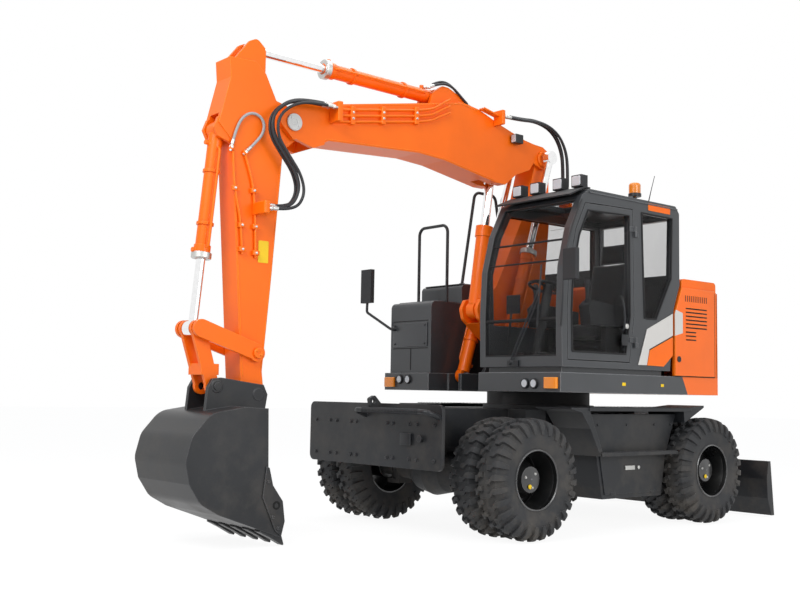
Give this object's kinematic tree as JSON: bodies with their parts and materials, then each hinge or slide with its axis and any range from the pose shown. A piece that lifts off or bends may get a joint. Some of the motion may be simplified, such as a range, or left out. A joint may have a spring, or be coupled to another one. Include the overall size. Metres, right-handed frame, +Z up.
{
  "type": "wheeled excavator",
  "caption": "Wheeled excavator with two-piece boom, arm and bucket, slewing cab, steered twin front tyres and rear dozer blade.",
  "frame": {"origin": "middle of the machine's box, on the ground", "axes": "+X forward, +Y to the driver's left, +Z up"},
  "size_m": [6.4853, 3.08, 4.2298],
  "materials": {
    "orange_paint": "gloss",
    "grey_paint": "satin",
    "black_paint": "satin",
    "chrome_rod": "polished",
    "tyre_rubber": "matte",
    "cab_glazing": "clear",
    "lamp_lens": "clear",
    "amber_lens": "clear",
    "seat_cloth": "woven",
    "cab_plastic": "matte",
    "cast_grey": "cast"
  },
  "bodies": {
    "chassis": {"chassis_frame": "black_paint", "slewing_ring": "cast_grey", "front_plate": "black_paint", "front_axle": "cast_grey", "rear_axle": "cast_grey", "transmission": "cast_grey", "side_steps": "black_paint"},
    "knuckle_left": {"knuckle_left": "black_paint"},
    "knuckle_right": {"knuckle_right": "black_paint"},
    "wheel_front_left": {"tyres_front_left": "tyre_rubber", "hub_front_left": "black_paint"},
    "wheel_front_right": {"tyres_front_right": "tyre_rubber", "hub_front_right": "black_paint"},
    "wheel_rear_left": {"tyres_rear_left": "tyre_rubber", "hub_rear_left": "black_paint"},
    "wheel_rear_right": {"tyres_rear_right": "tyre_rubber", "hub_rear_right": "black_paint"},
    "blade": {"blade": "black_paint"},
    "blade_barrels": {"blade_barrels": "black_paint"},
    "blade_rods": {"blade_rods": "chrome_rod"},
    "upper_structure": {"upper_frame": "grey_paint", "cab_shell": "grey_paint", "cab_glass": "cab_glazing", "seat": "seat_cloth", "consoles": "cab_plastic", "steering_column": "cab_plastic", "roof_lamps": "cab_plastic", "engine": "cast_grey", "side_panels": "orange_paint", "counterweight": "orange_paint", "right_boxes": "grey_paint", "handrails": "black_paint", "mirrors": "cab_plastic", "beacon": "amber_lens", "base_lamps": "lamp_lens"},
    "engine_hood": {"engine_hood": "black_paint"},
    "cab_door": {"cab_door": "grey_paint", "cab_door_glass": "cab_glazing"},
    "lower_boom": {"lower_boom": "orange_paint"},
    "boom_barrels": {"boom_barrels": "orange_paint"},
    "boom_rods": {"boom_rods": "chrome_rod"},
    "upper_boom": {"upper_boom": "orange_paint"},
    "position_barrel": {"position_barrel": "orange_paint"},
    "position_rod": {"position_rod": "chrome_rod"},
    "arm": {"arm": "orange_paint"},
    "arm_barrel": {"arm_barrel": "orange_paint"},
    "arm_rod": {"arm_rod": "chrome_rod"},
    "bucket_barrel": {"bucket_barrel": "orange_paint"},
    "bucket_rod": {"bucket_rod": "chrome_rod"},
    "side_links": {"side_links": "orange_paint"},
    "main_link": {"main_link": "orange_paint"},
    "bucket": {"bucket": "black_paint"}
  },
  "joints": [
    {"name": "slew", "type": "hinge", "parent": "chassis", "child": "upper_structure", "pos_m": [-0.90271, 0.06, 1.2], "axis": [0, 0, 1], "continuous": true},
    {"name": "steering", "type": "hinge", "parent": "chassis", "child": "knuckle_left", "pos_m": [0.44729, 0.66, 0.525], "axis": [0, 0, 1], "range_deg": [-28, 28]},
    {"name": "steering_right", "type": "hinge", "parent": "chassis", "child": "knuckle_right", "pos_m": [0.44729, -0.54, 0.525], "axis": [0, 0, 1], "range_deg": [-29, 29]},
    {"name": "roll_front_left", "type": "hinge", "parent": "knuckle_left", "child": "wheel_front_left", "pos_m": [0.44729, 1.06, 0.525], "axis": [0, 1, 0], "continuous": true},
    {"name": "roll_front_right", "type": "hinge", "parent": "knuckle_right", "child": "wheel_front_right", "pos_m": [0.44729, -0.94, 0.525], "axis": [0, 1, 0], "continuous": true},
    {"name": "roll_rear_left", "type": "hinge", "parent": "chassis", "child": "wheel_rear_left", "pos_m": [-2.10271, 1.06, 0.525], "axis": [0, 1, 0], "continuous": true},
    {"name": "roll_rear_right", "type": "hinge", "parent": "chassis", "child": "wheel_rear_right", "pos_m": [-2.10271, -0.94, 0.525], "axis": [0, 1, 0], "continuous": true},
    {"name": "blade_lift", "type": "hinge", "parent": "chassis", "child": "blade", "pos_m": [-2.51271, 0.06, 0.56], "axis": [0, 1, 0], "range_deg": [-8, 25]},
    {"name": "blade_barrel_pin", "type": "hinge", "parent": "chassis", "child": "blade_barrels", "pos_m": [-2.68771, 0.06, 0.96], "axis": [0, 1, 0], "range_deg": [-6.36, 17.76]},
    {"name": "blade_rod_slide", "type": "slide", "parent": "blade_barrels", "child": "blade_rods", "axis": [-0.56, 0, -0.8285], "range_m": [-0.18, 0.0644]},
    {"name": "boom_lift", "type": "hinge", "parent": "upper_structure", "child": "lower_boom", "pos_m": [-0.80271, -0.11, 1.75], "axis": [0, -1, 0], "range_deg": [-58, 4]},
    {"name": "boom_barrel_pin", "type": "hinge", "parent": "upper_structure", "child": "boom_barrels", "pos_m": [-0.25271, -0.11, 1.43], "axis": [0, -1, 0], "range_deg": [-51.59, 4.49]},
    {"name": "boom_rod_slide", "type": "slide", "parent": "boom_barrels", "child": "boom_rods", "axis": [-0.2947, 0, 0.9556], "range_m": [-0.568, 0.0485]},
    {"name": "upper_boom_fold", "type": "hinge", "parent": "lower_boom", "child": "upper_boom", "pos_m": [-0.95271, -0.11, 3.7], "axis": [0, 1, 0], "range_deg": [-35, 15]},
    {"name": "position_barrel_pin", "type": "hinge", "parent": "lower_boom", "child": "position_barrel", "pos_m": [-0.16271, -0.11, 2.08], "axis": [0, 1, 0], "range_deg": [-3.02, 5.72]},
    {"name": "position_rod_slide", "type": "slide", "parent": "position_barrel", "child": "position_rod", "axis": [-0.1374, 0, 0.9905], "range_m": [-0.1617, 0.3641]},
    {"name": "arm_swing", "type": "hinge", "parent": "upper_boom", "child": "arm", "pos_m": [2.17729, -0.11, 3.54], "axis": [0, -1, 0], "range_deg": [-22, 50]},
    {"name": "arm_barrel_pin", "type": "hinge", "parent": "upper_boom", "child": "arm_barrel", "pos_m": [0.45729, -0.11, 4.12], "axis": [0, -1, 0], "range_deg": [-3.23, 6.07]},
    {"name": "arm_rod_slide", "type": "slide", "parent": "arm_barrel", "child": "arm_rod", "axis": [1, 0, 0.0098], "range_m": [-0.562, 0.2529]},
    {"name": "bucket_curl", "type": "hinge", "parent": "arm", "child": "bucket", "pos_m": [2.45729, -0.11, 1.21], "axis": [0, 1, 0], "range_deg": [-40, 50]},
    {"name": "side_link_pin", "type": "hinge", "parent": "arm", "child": "side_links", "pos_m": [2.46729, -0.11, 1.55], "axis": [0, 1, 0], "range_deg": [-25.82, 32.02]},
    {"name": "main_link_pin", "type": "hinge", "parent": "side_links", "child": "main_link", "pos_m": [2.99229, -0.11, 1.73], "axis": [0, 1, 0], "range_deg": [-24.63, 19.91]},
    {"name": "bucket_barrel_pin", "type": "hinge", "parent": "arm", "child": "bucket_barrel", "pos_m": [2.83229, -0.11, 3.39], "axis": [0, 1, 0], "range_deg": [-2.69, 2.35]},
    {"name": "bucket_rod_slide", "type": "slide", "parent": "bucket_barrel", "child": "bucket_rod", "axis": [0.0959, 0, -0.9954], "range_m": [-0.2342, 0.2902]},
    {"name": "cab_door", "type": "hinge", "parent": "upper_structure", "child": "cab_door", "pos_m": [-0.90271, 1.296, 2.2], "axis": [0, 0, 1], "range_deg": [0, 110]},
    {"name": "engine_hood", "type": "hinge", "parent": "upper_structure", "child": "engine_hood", "pos_m": [-2.24771, 0.06, 2.325], "axis": [0, -1, 0], "range_deg": [0, 60]}
  ],
  "couplings": [
    {"joint": "steering_right", "follows": "steering", "ratio": 1},
    {"joint": "blade_barrel_pin", "follows": "blade_lift", "ratio": 0.6703},
    {"joint": "blade_rod_slide", "follows": "blade_lift", "m_per_rad": -0.3895},
    {"joint": "boom_barrel_pin", "follows": "boom_lift", "ratio": 0.8722},
    {"joint": "boom_rod_slide", "follows": "boom_lift", "m_per_rad": 0.5512},
    {"joint": "position_barrel_pin", "follows": "upper_boom_fold", "ratio": -0.1348},
    {"joint": "position_rod_slide", "follows": "upper_boom_fold", "m_per_rad": -0.5796},
    {"joint": "arm_barrel_pin", "follows": "arm_swing", "ratio": 0.1014},
    {"joint": "arm_rod_slide", "follows": "arm_swing", "m_per_rad": -0.6326},
    {"joint": "side_link_pin", "follows": "bucket_curl", "ratio": 0.6204},
    {"joint": "main_link_pin", "follows": "bucket_curl", "ratio": -0.4727},
    {"joint": "bucket_barrel_pin", "follows": "bucket_curl", "ratio": -0.0338},
    {"joint": "bucket_rod_slide", "follows": "bucket_curl", "m_per_rad": 0.3211}
  ]
}
